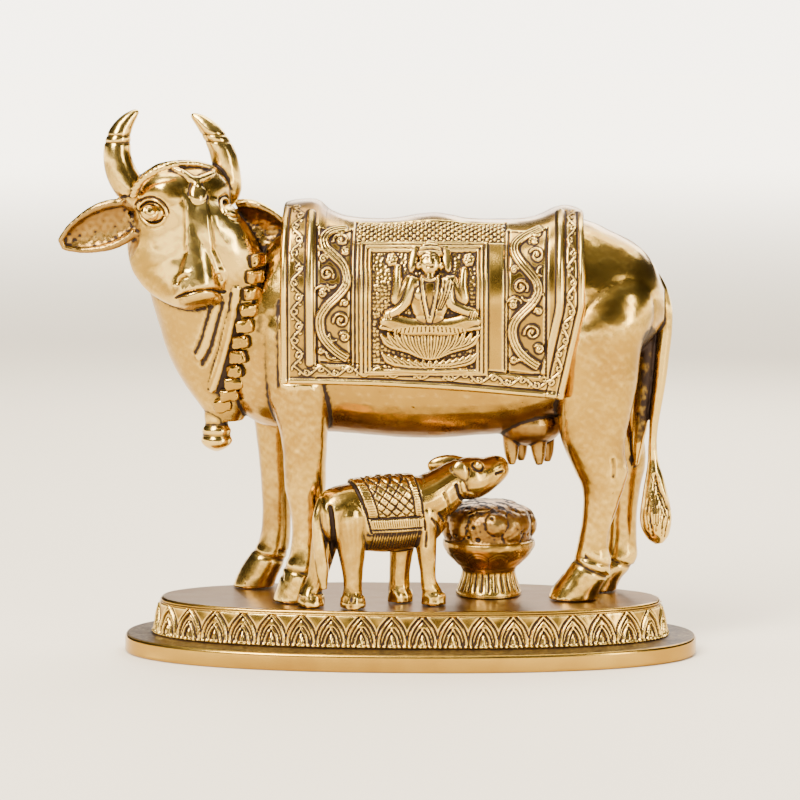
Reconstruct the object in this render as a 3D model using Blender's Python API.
"""A brass cow with her calf and an offering bowl, standing on an oval plinth. Four castings."""

import math

import bmesh
import bpy
import numpy as np
from mathutils import Vector
from mathutils.bvhtree import BVHTree

# Every size below is in millimetres. MM turns it into metres when a piece is finished.
MM = 0.001
CLEARANCE = 0.3  # gap under whatever rests on the plinth

# Plinth: a flat oval flange and a drum that narrows upwards.
FLANGE_LENGTH = 190.0
FLANGE_DEPTH = 80.0
FLANGE_HEIGHT = 5.9
FLANGE_ROUND = 1.1
DRUM_TOP_LENGTH = 166.2
DRUM_TOP_DEPTH = 56.6
DRUM_BOTTOM_LENGTH = 170.6
DRUM_BOTTOM_DEPTH = 60.6
PLINTH_TOP = 17.9
PLINTH_POWER = 2.3
PETALS = 40
PETAL_SIDES = 3  # columns of the drum wall for each petal
PETAL_SINK = 0.45  # how far the wall falls back between two petals
PETAL_FOOT = 1.2  # height of the petals' foot above the flange
PETAL_TIP = 0.72  # share of the wall that the petals cover
RIM_ROUND = 0.75  # rounding of the plinth's top edge

# Cow. The rump is at +X, the chest at -X and the watched side at -Y.
COW_FOOT = PLINTH_TOP + CLEARANCE
BODY_POWER = 2.25
LIMB_POWER = 2.15
# x, centre y, top z, bottom z, half width
TORSO = [
    (-62, 3.5, 112, 92, 8),
    (-58, 3.6, 124, 82, 14.5),
    (-52, 3.8, 131, 76.5, 19),
    (-44, 4.0, 140, 73.6, 22),
    (-34, 4.0, 146.5, 73, 23),
    (-20, 4.2, 142.8, 72.3, 23.3),
    (-5, 4.4, 143, 71, 23.5),
    (8, 4.6, 144.2, 70.7, 23.5),
    (20, 4.8, 142.5, 71.5, 23.4),
    (35, 5.1, 142.6, 73, 23.2),
    (48, 5.3, 145, 78, 23),
    (58, 5.4, 142.8, 86, 22.6),
    (66, 5.5, 139.3, 91, 21.6),
    (74, 5.5, 135.2, 98, 18.8),
    (79.5, 5.5, 129.6, 104, 14.5),
    (83.3, 5.5, 121, 109, 8),
]
# z, centre x, centre y, half size along x, half size along y
NECK = [
    (76.5, -60.5, 2, 5.0, 5.5),
    (82, -61.0, 2, 9.0, 8.6),
    (90, -61.6, 1.6, 13.8, 11.5),
    (99, -62.4, 1.2, 17.6, 14),
    (110, -63, -0.6, 20, 15.4),
    (120, -65, -3.4, 20.3, 15.2),
    (130, -66, -6.6, 19, 14.2),
    (139, -67.0, -9, 16, 12.6),
    (147, -69, -10.5, 12, 10.5),
    (153, -71, -11.5, 6, 6.5),
]
NECK_CREST = (-53, 3.0, 132)
NECK_CREST_HALF = (17, 10.0, 15.0)
NEAR_FORELEG = [
    (122, -38, -6, 10, 8),
    (112, -38, -8, 12.5, 11),
    (100, -37.3, -9.2, 12.5, 11),
    (87, -36, -9.6, 10.8, 10),
    (77, -34.7, -9.8, 8.4, 8.6),
    (70, -34.2, -9.8, 7.4, 7.4),
    (62, -34.1, -9.8, 6.9, 6.8),
    (56, -34, -9.8, 6.7, 6.6),
    (50, -33.7, -9.7, 5.7, 5.8),
    (44, -33.6, -9.6, 4.9, 5.1),
    (38, -33.8, -9.6, 4.8, 5.0),
    (33.5, -34.1, -9.6, 5.2, 5.5),
    (30.2, -34.8, -9.6, 5.9, 6.1),
    (26, -36, -9.6, 6.4, 6.3),
    (22, -37.0, -9.6, 6.8, 6.6),
    (COW_FOOT, -38, -9.6, 6.9, 6.7),
]
FAR_FORELEG = [
    (112, -43, 12, 10, 8),
    (98, -44.5, 14.5, 11, 10),
    (84, -45.8, 16, 8.6, 9),
    (74, -46.2, 17, 6.6, 7.4),
    (62, -45.9, 17.4, 5.6, 6.2),
    (52, -45.6, 17.6, 5.1, 5.7),
    (44, -45.6, 17.7, 4.8, 5.1),
    (38, -45.8, 17.8, 5.0, 5.2),
    (33, -46.6, 17.9, 5.4, 5.6),
    (29.5, -48.2, 18, 6.2, 6.2),
    (25, -50.6, 18, 6.9, 6.5),
    (21, -52.6, 18, 7.0, 6.7),
    (COW_FOOT, -53.6, 18, 7.0, 6.7),
]
NEAR_HINDLEG = [
    (132, 66, -3, 9, 9),
    (122, 65.5, -5.5, 14.5, 11.5),
    (111, 63.8, -6.8, 15.6, 12.6),
    (102, 61.8, -7.4, 14, 12),
    (91, 61.4, -7.4, 13.2, 10.8),
    (82, 60.6, -7, 12.3, 9.7),
    (73, 60.2, -6.4, 10.8, 8.6),
    (67, 61.1, -5.8, 9.6, 7.7),
    (61, 63, -5.2, 8.8, 6.8),
    (56.5, 63.6, -4.8, 7.2, 6.0),
    (52, 63.2, -4.4, 6.1, 5.4),
    (46, 62.2, -3.8, 5.3, 4.9),
    (41, 61.1, -3.4, 4.8, 4.7),
    (36, 60.4, -3.0, 5.1, 4.9),
    (32, 60.4, -2.8, 6.0, 5.5),
    (29, 59.6, -2.7, 6.9, 5.9),
    (25, 57.4, -2.6, 7.6, 6.2),
    (21.5, 55.1, -2.6, 7.9, 6.5),
    (COW_FOOT, 53.8, -2.6, 8.0, 6.7),
]
FAR_HINDLEG = [
    (128, 66, 12, 10, 9),
    (112, 64.5, 16.5, 15, 12),
    (100, 63.6, 17.8, 13.4, 11.4),
    (88, 65, 17.6, 11.4, 10),
    (75, 67.2, 17, 9.6, 8.4),
    (67, 69.3, 16.5, 8.9, 7.4),
    (60.5, 70.4, 16, 8.1, 6.6),
    (55, 70.8, 15.7, 6.5, 5.8),
    (48, 70.7, 15.3, 5.4, 5.0),
    (41, 70.7, 15, 4.9, 4.7),
    (34, 70.6, 14.8, 5.1, 4.9),
    (29.5, 69.8, 14.7, 6.0, 5.5),
    (25.6, 66.8, 14.6, 6.7, 6.1),
    (22, 63.4, 14.5, 7.1, 6.4),
    (COW_FOOT, 61.6, 14.5, 7.3, 6.5),
]
# centre x, y, z, radius
TAIL = [
    (75, 5.2, 128, 3),
    (80, 5.2, 122, 3.4),
    (82.8, 5.2, 114.5, 2.8),
    (83.5, 5.2, 107, 2.1),
    (82.9, 5.1, 101, 1.8),
    (81.4, 5, 95, 1.7),
    (80.1, 4.9, 88.5, 1.7),
    (79.5, 4.8, 81.5, 1.8),
    (79.9, 4.7, 74.5, 1.8),
    (80.8, 4.6, 68, 2.1),
    (81.3, 4.5, 61, 2.9),
    (81.3, 4.4, 54, 4),
    (81.2, 4.3, 47, 5.1),
    (81.5, 4.2, 41.5, 5.3),
    (82.2, 4.2, 37.4, 3.6),
    (82.7, 4.2, 35.6, 1.4),
]
UDDER_AT = (39.5, 5, 76)
UDDER_HALF = (11.5, 12, 8)
TEATS = [(33.4, 1.0), (42.4, 0.0), (45.2, 8.5), (36.5, 11.0)]  # x, y
# z, radius
TEAT = [(74, 3.0), (69, 2.7), (65, 2.1), (62.2, 1.1)]

# Head: measured from the poll along its own length, its face turned to the watched side.
HEAD_AT = (-71.9, -14.0, 161.5)
HEAD_ALONG = (0.18, -0.29, -0.94)
HEAD_ACROSS = (0.90, 0.43, 0.04)
# distance along, centre depth, half width, half depth
HEAD = [
    (-3, -9, 8, 5),
    (0.5, -9, 13.8, 9.0),
    (5, -10, 16.4, 12.4),
    (10.5, -11, 17.0, 13.8),
    (15.5, -12, 17.3, 14.4),
    (20.5, -13, 17.4, 14.2),
    (26, -13.4, 17.0, 13.6),
    (31, -13.2, 15.6, 12.7),
    (35.5, -12.4, 13.8, 11.3),
    (39, -11.2, 11.8, 9.6),
    (42, -9.8, 9.8, 7.4),
    (44, -9.0, 7.8, 5.4),
    (45.4, -8.8, 5.0, 3.4),
]
# The same distances, and how much narrower the face is there than the cheeks behind it.
HEAD_NARROWING = [(-3, 8, 14, 20, 30, 38, 42, 46), (0.0, 0.05, 0.2, 0.38, 0.5, 0.46, 0.34, 0.1)]
HORN_ROOT = (7.5, -9.5, 15.5, 4.6)  # along, depth, across, radius
EYES = [(14.2, -14.0, -3.0), (15.9, 12.0, -1.6)]  # along, across, depth
EYE_RADIUS = 3.3
# centre x, y, z, radius
LEFT_HORN = [
    (-89.8, -15.0, 151.7, 4.6),
    (-90.2, -14.8, 153.9, 5.0),
    (-92.8, -14.5, 158.4, 5.0),
    (-94.2, -14.2, 163.3, 4.7),
    (-94.1, -14.0, 168.4, 4.2),
    (-92.9, -13.8, 172.6, 3.4),
    (-90.8, -13.5, 175.8, 2.4),
    (-88.7, -13.2, 178.3, 1.5),
    (-87.4, -13.0, 179.5, 0.9),
]
RIGHT_HORN = [
    (-60.3, -1.0, 150.8, 4.1),
    (-59.6, -1.1, 153.4, 4.4),
    (-59.8, -1.2, 157.3, 4.5),
    (-60.6, -1.4, 162.2, 4.4),
    (-62.2, -1.5, 166.8, 4.0),
    (-64.7, -1.6, 171.4, 3.4),
    (-67.6, -1.8, 174.6, 2.5),
    (-70.1, -1.9, 176.6, 1.4),
    (-71.4, -2.0, 177.5, 0.6),
]
EAR_LENGTH = (25.5, 19.5)
EAR_ROOT = ((-90.2, -17.0, 144.6), (-57.4, -5.5, 143.6))
EAR_ALONG = ((-0.93, 0.0, -0.37), (0.95, -0.2, -0.25))
EAR_OPENS = ((-0.1, -0.97, -0.22), (0.0, -0.93, -0.34))
EAR_HALF = [5.2, 6.3, 6.7, 6.4, 5.5, 4.0, 1.5]
EAR_HOLLOW = 2.1
EAR_THICK = 1.9

# Blanket laid over the back.
BLANKET_FRONT = -39.2
BLANKET_REAR_TOP = 57.0
BLANKET_REAR_BOTTOM = 50.2
BLANKET_HALF = 25.0
BLANKET_BOTTOM_FRONT = 90.6
BLANKET_BOTTOM_REAR = 85.6
BLANKET_SHOULDER = 116.0  # height where the hanging side turns over the back
BLANKET_TUCK = 1.2  # how far the hem lies closer to the body than the cloth above it
BLANKET_SECTIONS = 30
BLANKET_MIDDLE = [(-40, 55), (4.0, 5.4)]  # x, and y of the ridge of the back there
BLANKET_SWELL = [(-40, 0, 40, 57), (-0.6, 0.2, 0.2, -0.8)]  # x, and what is added to the half width
# x, top z
BLANKET_TOP = [
    (-42, 148.4),
    (-38, 149.4),
    (-33, 149.9),
    (-29.5, 149.0),
    (-26, 146.0),
    (-19, 143.8),
    (-7, 143.4),
    (2, 144.7),
    (8, 145.3),
    (14, 144.4),
    (20, 143.4),
    (35, 143.3),
    (42, 144.7),
    (47, 147),
    (50.5, 147.8),
    (54, 147.2),
    (57, 145.6),
    (60, 143),
]

# Necklace: x and z of its beads on the watched side, then the bell below them.
NECKLACE = [
    (-49.6, 130.6),
    (-50.4, 125.4),
    (-51.2, 120.0),
    (-52.2, 114.6),
    (-53.0, 109.2),
    (-54.0, 104.0),
    (-55.0, 99.0),
    (-56.2, 94.4),
    (-57.4, 90.1),
    (-59.0, 86.2),
    (-61.2, 82.6),
]
BEAD_HALF = (3.0, 1.8, 2.2)
BEAD_LEAN = -0.15  # the string of beads leans this much back as it rises
BELL_AT = (-64.0, 0.0)
# z, radius
BELL = [
    (81.5, 3.4),
    (78, 4.0),
    (75, 4.0),
    (73.4, 4.8),
    (71, 5.1),
    (69, 4.6),
    (67.4, 2.6),
    (66.6, 1),
]
ORNAMENT = [(3.6, 4.2, 1.6), (7.6, 2.0, 1.6), (11.0, 2.6, 1.9)]  # along, half size, half depth
ORNAMENT_DEPTH = 2.4

# Calf: it stands on the watched side with its rump turned a little outwards.
CALF_AT = (-9.0, -16.2)
CALF_TURN = math.radians(19)
# along, side, top z, bottom z, half width
CALF_TORSO = [
    (-21.8, 0, 51.0, 45.5, 3.2),
    (-20.0, 0, 55.2, 41.5, 6.3),
    (-15.5, 0, 57.6, 38.4, 7.9),
    (-9, 0, 58.8, 36.8, 8.3),
    (0, 0, 59.9, 35.6, 8.5),
    (8, 0, 60.2, 36, 8.2),
    (14, 0, 59.8, 37.2, 7.6),
    (18.4, 0, 57.8, 38.8, 6.4),
    (21.6, 0, 54, 42.4, 4.2),
]
# along, side, z, radius
CALF_NECK = [
    (9, 0, 50, 8.4),
    (15, 0.2, 51.6, 8.4),
    (20, 0.5, 54.0, 8.0),
    (25, 0.8, 57.2, 7.0),
    (29, 1, 59.4, 6.3),
]
CALF_HEAD = [
    (25.5, 1, 59.4, 3.6),
    (27.6, 1, 59.4, 6.1),
    (31.2, 1, 59.4, 6.6),
    (34.6, 1, 59.6, 6.2),
    (37.6, 1, 60.3, 5.5),
    (40.3, 1, 61.5, 4.7),
    (42.4, 1, 62.7, 3.6),
    (43.6, 1, 63.4, 1.9),
]
# hip or shoulder, knee, shin, fetlock and foot: along, side, z, radius in each
CALF_LEGS = [
    [
        (-13, -2.6, 50, 7.0),
        (-12.6, -3.0, 40, 4.8),
        (-12.2, -3.2, 31, 3.2),
        (-12.0, -3.2, 25, 2.7),
        (-12.2, -3.2, 20.8, 3.6),
    ],
    [
        (-15, 2.4, 50, 6.8),
        (-17.4, 3.0, 40, 4.6),
        (-19.0, 3.6, 31, 3.3),
        (-20.6, 4.0, 25, 2.9),
        (-22.0, 4.2, 20.8, 3.9),
    ],
    [
        (13, -2.8, 50, 6.4),
        (13.6, -3.6, 41, 3.7),
        (14.4, -4.0, 32, 2.6),
        (14.8, -4.2, 26, 2.4),
        (16.4, -4.2, 20.8, 3.5),
    ],
    [
        (11, 2.8, 48, 6.2),
        (8.6, 3.4, 38, 4.2),
        (7.8, 3.8, 31, 3.5),
        (7.6, 4.0, 26, 3.3),
        (7.4, 4.0, 20.8, 3.7),
    ],
]
CALF_ANKLE = 22.0  # height where the hoof begins
CALF_TOE = 20.0  # height where the hoof has its full width
CALF_HOOF_SPREAD = 0.5
CALF_TAIL = [
    (-19.5, -0.8, 54, 1.8),
    (-21.8, -1.8, 48, 1.8),
    (-21.6, -2.4, 40, 2.0),
    (-20.6, -2.6, 31, 2.1),
    (-20, -2.6, 24.6, 1),
]
# x, y, z and the three half sizes
CALF_EARS = [(11.8, 0.6, 61.7, 5.8, 1.7, 3.2), (17.6, -11.9, 61.4, 3.0, 1.5, 3.5)]
CALF_EYES = [(22.3, -10.3, 63.4, 1.4), (20.6, 0.6, 63.6, 1.4)]
CALF_BLANKET = (-10.5, 9.0, 43.6, 0.9)  # along from, along to, bottom z, stand-off

# Bowl: radius and height of its outline, from the foot up.
BOWL_AT = (26.1, 6.0)
BOWL = [
    (10.9, COW_FOOT),
    (10.8, 19.4),
    (9.5, 23.0),
    (8.9, 26.4),
    (10.4, 28.2),
    (13.4, 31.2),
    (15.2, 34.2),
    (15.3, 36.0),
    (14.6, 37.2),
    (15.1, 40.0),
    (15.0, 43.4),
    (13.0, 46.6),
    (8.6, 48.8),
    (4.0, 49.6),
]
BOWL_SIDES = 28
BOWL_FLUTES = (0.25, 25)  # depth of the foot's flutes, and the height they reach
HEAP_FROM = 38  # height where the sweets begin
HEAP_LUMPS = [(0.7, 5, 0.9), (0.5, 8, -1.3)]  # height, number round the heap, twist

COW_VOXEL = 1.05
CALF_VOXEL = 0.7
COW_TRIANGLES = 5200
CALF_TRIANGLES = 1400
SIDES = 28


def clear_scene():
    """Start from an empty scene."""
    for item in list(bpy.data.objects):
        bpy.data.objects.remove(item, do_unlink=True)
    for mesh in list(bpy.data.meshes):
        bpy.data.meshes.remove(mesh)


def brass(name, colour, roughness):
    """A plain cast brass finish."""
    made = bpy.data.materials.new(name)
    made.use_nodes = True
    shader = made.node_tree.nodes["Principled BSDF"]
    shader.inputs["Base Color"].default_value = (*colour, 1)
    shader.inputs["Metallic"].default_value = 1
    shader.inputs["Roughness"].default_value = roughness
    return made


def smooth_rows(rows, per):
    """A Catmull-Rom curve through the rows of a table, per steps from one row to the next."""
    rows = np.array(rows, float)
    ends = np.vstack([2 * rows[0] - rows[1], rows, 2 * rows[-1] - rows[-2]])
    out = []
    for i in range(1, len(rows)):
        a, b, c, d = ends[i - 1 : i + 3]
        for t in np.arange(per) / per:
            bend = (2 * a - 5 * b + 4 * c - d) * t**2 + (3 * b - a - 3 * c + d) * t**3
            out.append(0.5 * (2 * b + (c - a) * t + bend))
    out.append(rows[-1])
    return np.array(out)


def oval(sides, power):
    """Cosine and sine of an oval that grows squarer as power rises above 2."""
    turn = np.arange(sides) * 2 * math.pi / sides
    c, s = np.cos(turn), np.sin(turn)
    return np.sign(c) * np.abs(c) ** (2 / power), np.sign(s) * np.abs(s) ** (2 / power)


def loft(bm, rings):
    """Join rings of equally many points into a closed skin with a fan at each end."""
    grid = [[bm.verts.new(p) for p in ring] for ring in rings]
    count = len(grid[0])
    for low, high in zip(grid, grid[1:]):
        for i in range(count):
            j = (i + 1) % count
            bm.faces.new((low[i], low[j], high[j], high[i]))
    for ring, end in ((grid[0], rings[0]), (grid[-1], rings[-1])):
        middle = bm.verts.new(np.mean(end, axis=0))
        for i in range(count):
            bm.faces.new((ring[i], ring[(i + 1) % count], middle))


def level_rings(rows, power, per=3, sides=SIDES):
    """Horizontal ovals from rows of z, centre x, centre y, half x and half y."""
    c, s = oval(sides, power)
    rings = []
    for z, x, y, half_x, half_y in smooth_rows(rows, per):
        rings.append(np.stack([x + half_x * c, y + half_y * s, np.full(sides, z)], 1))
    return rings


def torso_rings(rows, power, per=3, sides=SIDES):
    """Upright ovals from rows of x, centre y, top z, bottom z and half width."""
    c, s = oval(sides, power)
    rings = []
    for x, y, top, bottom, half in smooth_rows(rows, per):
        middle, high = (top + bottom) / 2, (top - bottom) / 2
        rings.append(np.stack([np.full(sides, x), y + half * c, middle + high * s], 1))
    return rings


def rod_rings(rows, per=3, sides=14):
    """Round rings square to a path, from rows of x, y, z and radius."""
    rows = smooth_rows(rows, per)
    path = rows[:, :3]
    run = np.gradient(path, axis=0)
    run /= np.linalg.norm(run, axis=1)[:, None]
    side = np.cross(run[0], (0.31, 0.92, 0.23))
    turn = np.arange(sides) * 2 * math.pi / sides
    rings = []
    for centre, ahead, radius in zip(path, run, rows[:, 3]):
        side = side - ahead * (side @ ahead)
        side /= np.linalg.norm(side)
        other = np.cross(ahead, side)
        rings.append(centre + radius * (np.cos(turn)[:, None] * side + np.sin(turn)[:, None] * other))
    return rings


def ball(bm, centre, radii, frame=None, sides=16, rows=9):
    """An ellipsoid, turned by frame when one is given."""
    frame = np.eye(3) if frame is None else np.array(frame)
    turn = np.arange(sides) * 2 * math.pi / sides
    rings = []
    for step in np.linspace(-1, 1, rows + 2)[1:-1] * math.pi / 2:
        flat = math.cos(step) * np.stack([np.cos(turn), np.sin(turn)], 1)
        local = np.column_stack([flat, np.full(sides, math.sin(step))]) * np.array(radii)
        rings.append(np.array(centre) + local @ frame)
    loft(bm, rings)


def unit(v):
    """The direction of v."""
    v = np.array(v, float)
    return v / np.linalg.norm(v)


def head_frame():
    """Across, along and outward directions of the cow's head."""
    across = unit(HEAD_ACROSS)
    along = np.array(HEAD_ALONG)
    along = unit(along - across * (along @ across))
    return across, along, np.cross(along, across)


def at_head(along, depth, across=0.0):
    """A point given in the head's own directions."""
    w, n, u = head_frame()
    return np.array(HEAD_AT) + n * along + u * depth + w * across


def add_head(bm):
    """Skull, eyes and the ornament between the horns."""
    w, n, u = head_frame()
    c, s = oval(SIDES, BODY_POWER)
    rings = []
    for along, depth, half, deep in smooth_rows(HEAD, 3):
        reach = half * c * (1 - np.interp(along, *HEAD_NARROWING) * (s + 0.2))
        rings.append(at_head(along, depth) + reach[:, None] * w + deep * s[:, None] * u)
    loft(bm, rings)
    along, depth, across, radius = HORN_ROOT
    for side in (-1, 1):
        ball(bm, at_head(along, depth, side * across), (radius, radius, radius))
    for along, across, depth in EYES:
        eye = (EYE_RADIUS, EYE_RADIUS * 0.85, EYE_RADIUS * 0.8)
        ball(bm, at_head(along, depth, across), eye, (w, n, u))
    for along, half, deep in ORNAMENT:
        ball(bm, at_head(along, ORNAMENT_DEPTH), (half, half, deep), (w, n, u))


def add_ear(bm, side):
    """A hollow leaf: an inner and an outer curved sheet, joined round the edge."""
    along = unit(EAR_ALONG[side])
    opens = np.array(EAR_OPENS[side])
    opens = unit(opens - along * (opens @ along))
    across = np.cross(along, opens)
    spread = np.linspace(-1, 1, 9)
    halves = smooth_rows([(h,) for h in EAR_HALF], 2)[:, 0]
    rings = []
    for step, half in zip(np.linspace(0, 1, len(halves)), halves):
        centre = np.array(EAR_ROOT[side]) + along * EAR_LENGTH[side] * step
        sink = EAR_HOLLOW * min(1, half / 4.5)
        inner = [centre + across * half * v - opens * sink * (1 - v * v) for v in spread]
        outer = [p - opens * (EAR_THICK * (1.05 - 0.6 * v * v)) for p, v in zip(inner, spread)]
        rings.append(np.array(inner + outer[::-1]))
    loft(bm, rings)


def blanket_ring(x_top, x_bottom, bottom, sides=17):
    """One upright section of the blanket: the two hanging sides and the curve over the back."""
    tops = np.array(BLANKET_TOP)
    top = np.interp(x_top, tops[:, 0], tops[:, 1])
    middle = np.interp(x_top, *BLANKET_MIDDLE)
    half = BLANKET_HALF + np.interp(x_top, *BLANKET_SWELL)
    turn = np.linspace(0, math.pi, sides)
    c, s = np.cos(turn), np.sin(turn)
    over_y = middle - half * np.sign(c) * np.abs(c) ** (2 / BODY_POWER)
    over_z = BLANKET_SHOULDER + (top - BLANKET_SHOULDER) * s ** (2 / BODY_POWER)
    over = np.stack([np.full(sides, x_top), over_y, over_z], 1)
    hang = np.linspace(0, 1, 6)[:-1]
    fall_z = bottom + (BLANKET_SHOULDER - bottom) * hang
    fall_x = x_bottom + (x_top - x_bottom) * hang
    tuck = half - BLANKET_TUCK * (1 - hang) ** 1.5
    near = np.stack([fall_x, middle - tuck, fall_z], 1)
    far = np.stack([fall_x, middle + tuck, fall_z], 1)[::-1]
    return np.vstack([near, over, far])


def add_blanket(bm):
    """A thick cloth hanging straight down both flanks."""
    rings = []
    for step in np.linspace(0, 1, BLANKET_SECTIONS):
        x_top = BLANKET_FRONT + (BLANKET_REAR_TOP - BLANKET_FRONT) * step
        x_bottom = BLANKET_FRONT + (BLANKET_REAR_BOTTOM - BLANKET_FRONT) * step
        bottom = BLANKET_BOTTOM_FRONT + (BLANKET_BOTTOM_REAR - BLANKET_BOTTOM_FRONT) * step**2
        rings.append(blanket_ring(x_top, x_bottom, bottom))
    loft(bm, rings)


def skin_depth(tree, x, z, from_y=-90.0, ahead=1.0):
    """Where a line across the body first meets its skin, and the skin's direction there."""
    hit, normal, _, _ = tree.ray_cast(Vector((x, from_y, z)), Vector((0, ahead, 0)))
    return (hit, normal) if hit else (None, None)


def add_necklace(bm):
    """Blocky beads lying on the neck on both sides, and the bell that hangs from them."""
    bm.normal_update()
    tree = BVHTree.FromBMesh(bm)
    for from_y, ahead in ((-90.0, 1.0), (90.0, -1.0)):
        for x, z in NECKLACE:
            hit, normal = skin_depth(tree, x, z, from_y, ahead)
            if hit is None:
                continue
            out = unit(-np.array(normal)) if normal.y * ahead > 0 else unit(normal)
            up = np.array((BEAD_LEAN, 0, 1))
            up = unit(up - out * (up @ out))
            ball(bm, np.array(hit) + out * 0.6, BEAD_HALF, (np.cross(up, out), out, up), 8, 5)
    x, y = BELL_AT
    loft(bm, rod_rings([(x, y, z, r) for z, r in BELL], 2))


def add_udder(bm):
    """The bag under the flank and its four teats."""
    ball(bm, UDDER_AT, UDDER_HALF)
    for x, y in TEATS:
        loft(bm, rod_rings([(x, y, z, radius) for z, radius in TEAT], 2, 10))


def cow_skin():
    """All of the cow's overlapping parts."""
    bm = bmesh.new()
    loft(bm, torso_rings(TORSO, BODY_POWER))
    loft(bm, level_rings(NECK, BODY_POWER))
    ball(bm, NECK_CREST, NECK_CREST_HALF)
    for leg in (NEAR_FORELEG, FAR_FORELEG, NEAR_HINDLEG, FAR_HINDLEG):
        loft(bm, level_rings(leg, LIMB_POWER))
    add_necklace(bm)
    loft(bm, rod_rings(TAIL))
    add_udder(bm)
    add_head(bm)
    for horn in (LEFT_HORN, RIGHT_HORN):
        loft(bm, rod_rings(horn))
    for side in (0, 1):
        add_ear(bm, side)
    add_blanket(bm)
    return bm


def calf_point(along, side, z):
    """A point given along and across the calf."""
    c, s = math.cos(CALF_TURN), math.sin(CALF_TURN)
    return (CALF_AT[0] + along * c - side * s, CALF_AT[1] + along * s + side * c, z)


def calf_rod(bm, rows, sides=14):
    """A rod given in the calf's own directions."""
    loft(bm, rod_rings([(*calf_point(a, b, z), r) for a, b, z, r in rows], 3, sides))


def calf_skin():
    """All of the calf's overlapping parts."""
    bm = bmesh.new()
    for rows in (CALF_TORSO, calf_blanket_rows()):
        rings = torso_rings(rows, BODY_POWER, 2)
        loft(bm, [[calf_point(*p) for p in ring] for ring in rings])
    for rows in (CALF_NECK, CALF_HEAD, CALF_TAIL, *CALF_LEGS):
        calf_rod(bm, rows)
    for leg in CALF_LEGS:
        a, b, _, r = leg[-1]
        x, y, _ = calf_point(a + CALF_HOOF_SPREAD, b, 0)
        wide = r + CALF_HOOF_SPREAD
        hoof = [(CALF_ANKLE, x, y, r, r), (CALF_TOE, x, y, wide, wide), (COW_FOOT, x, y, wide, wide)]
        loft(bm, level_rings(hoof, 2, 2, 14))
    for x, y, z, *radii in CALF_EARS:
        ball(bm, (x, y, z), radii)
    for x, y, z, r in CALF_EYES:
        ball(bm, (x, y, z), (r, r, r))
    return bm


def calf_blanket_rows():
    """The calf's cloth: its torso a little larger, cut off at the ends and the hem."""
    start, stop, hem, off = CALF_BLANKET
    body = np.array(CALF_TORSO)
    rows = []
    for along in np.linspace(start, stop, 7):
        row = [np.interp(along, body[:, 0], body[:, k]) for k in range(1, 5)]
        rows.append((along, row[0], row[1] + off, hem, row[3] + off))
    return rows


def plinth_skin():
    """Nested oval rings from the flat underside up to the flat top."""
    bm = bmesh.new()
    columns = PETALS * PETAL_SIDES
    c, s = oval(columns, PLINTH_POWER)
    lean = np.linspace(0, 1, PETAL_SIDES + 1)[:-1]
    sink = np.tile(PETAL_SINK * np.abs(1 - 2 * lean), PETALS)
    flange = (FLANGE_LENGTH / 2, FLANGE_DEPTH / 2)
    top = (DRUM_TOP_LENGTH / 2, DRUM_TOP_DEPTH / 2)
    foot = (DRUM_BOTTOM_LENGTH / 2, DRUM_BOTTOM_DEPTH / 2)
    wall = PLINTH_TOP - FLANGE_HEIGHT
    levels = [
        (flange, -FLANGE_ROUND, 0.0, 0),
        (flange, 0, FLANGE_ROUND, 0),
        (flange, 0, FLANGE_HEIGHT - FLANGE_ROUND, 0),
        (flange, -FLANGE_ROUND, FLANGE_HEIGHT, 0),
        (foot, 0, FLANGE_HEIGHT, 0),
        (foot, -0.2, FLANGE_HEIGHT + PETAL_FOOT, 1),
        (top, 0.6, FLANGE_HEIGHT + wall * PETAL_TIP, 0.6),
        (top, 0.1, PLINTH_TOP - RIM_ROUND, 0),
        (top, -RIM_ROUND, PLINTH_TOP, 0),
    ]
    rings = []
    for (half_x, half_y), grow, z, carved in levels:
        out = grow - sink * carved
        rings.append(np.stack([(half_x + out) * c, (half_y + out) * s, np.full(columns, z)], 1))
    loft(bm, rings)
    return bm


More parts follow.
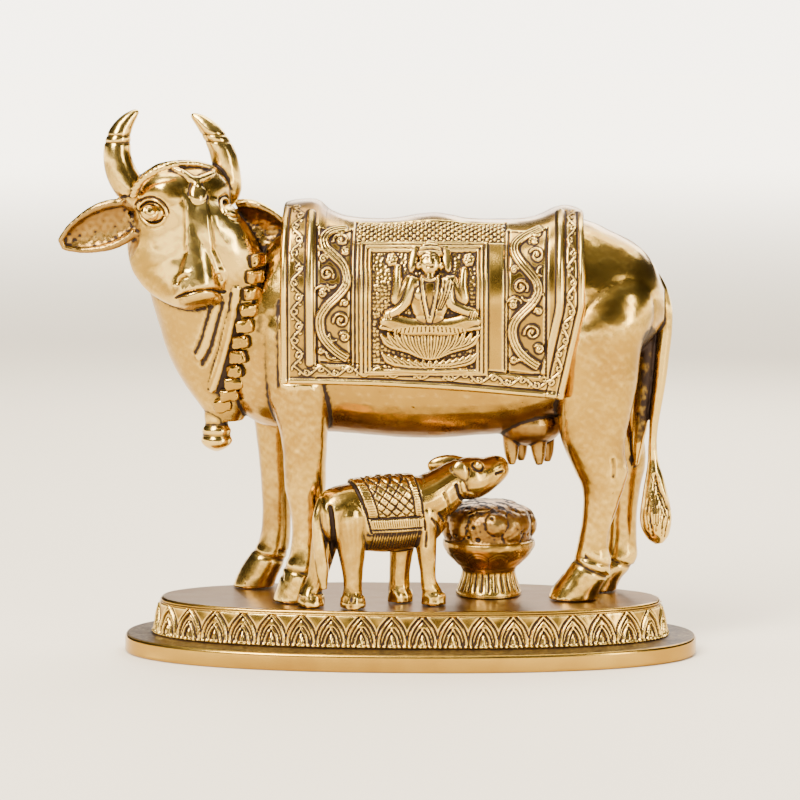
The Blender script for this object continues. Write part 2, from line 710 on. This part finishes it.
def bowl_skin():
    """The bowl's turned outline, with the heap of sweets broken into lumps."""
    bm = bmesh.new()
    turn = np.arange(BOWL_SIDES) * 2 * math.pi / BOWL_SIDES
    rings = []
    flute, flute_top = BOWL_FLUTES
    for radius, z in BOWL:
        heap = np.clip((z - HEAP_FROM) / 3, 0, 1)
        lumps = sum(high * np.sin(turn * count + z * twist) for high, count, twist in HEAP_LUMPS)
        r = radius + heap * lumps + flute * np.cos(turn * BOWL_SIDES / 2) * (z < flute_top)
        x = BOWL_AT[0] + r * np.cos(turn)
        y = BOWL_AT[1] + r * np.sin(turn)
        rings.append(np.stack([x, y, np.full(BOWL_SIDES, z)], 1))
    loft(bm, rings)
    return bm


def finish(bm, name, material):
    """Turn a skin in millimetres into a named object in metres."""
    bmesh.ops.remove_doubles(bm, verts=bm.verts, dist=1e-4)
    bmesh.ops.recalc_face_normals(bm, faces=bm.faces)
    bmesh.ops.scale(bm, vec=(MM, MM, MM), verts=bm.verts)
    mesh = bpy.data.meshes.new(name)
    bm.to_mesh(mesh)
    bm.free()
    made = bpy.data.objects.new(name, mesh)
    bpy.context.scene.collection.objects.link(made)
    mesh.materials.append(material)
    return made


def fuse(item, voxel, passes, triangles):
    """Melt the overlapping parts into one skin, smooth it and thin it out."""
    remesh = item.modifiers.new("fuse", "REMESH")
    remesh.mode = "VOXEL"
    remesh.voxel_size = voxel * MM
    smooth = item.modifiers.new("smooth", "SMOOTH")
    smooth.factor = 0.5
    smooth.iterations = passes
    graph = bpy.context.evaluated_depsgraph_get()
    dense = sum(len(p.vertices) - 2 for p in item.evaluated_get(graph).data.polygons)
    thin = item.modifiers.new("thin", "DECIMATE")
    thin.ratio = triangles / dense
    thin.use_collapse_triangulate = True
    return item


def main():
    """Build the four castings."""
    clear_scene()
    finish(plinth_skin(), "plinth", brass("plinth", (0.60, 0.42, 0.18), 0.36))
    cow = finish(cow_skin(), "cow", brass("cow", (0.72, 0.52, 0.24), 0.28))
    fuse(cow, COW_VOXEL, 4, COW_TRIANGLES)
    calf = finish(calf_skin(), "calf", brass("calf", (0.70, 0.50, 0.22), 0.30))
    fuse(calf, CALF_VOXEL, 3, CALF_TRIANGLES)
    finish(bowl_skin(), "offering_bowl", brass("offering_bowl", (0.55, 0.38, 0.16), 0.38))


main()
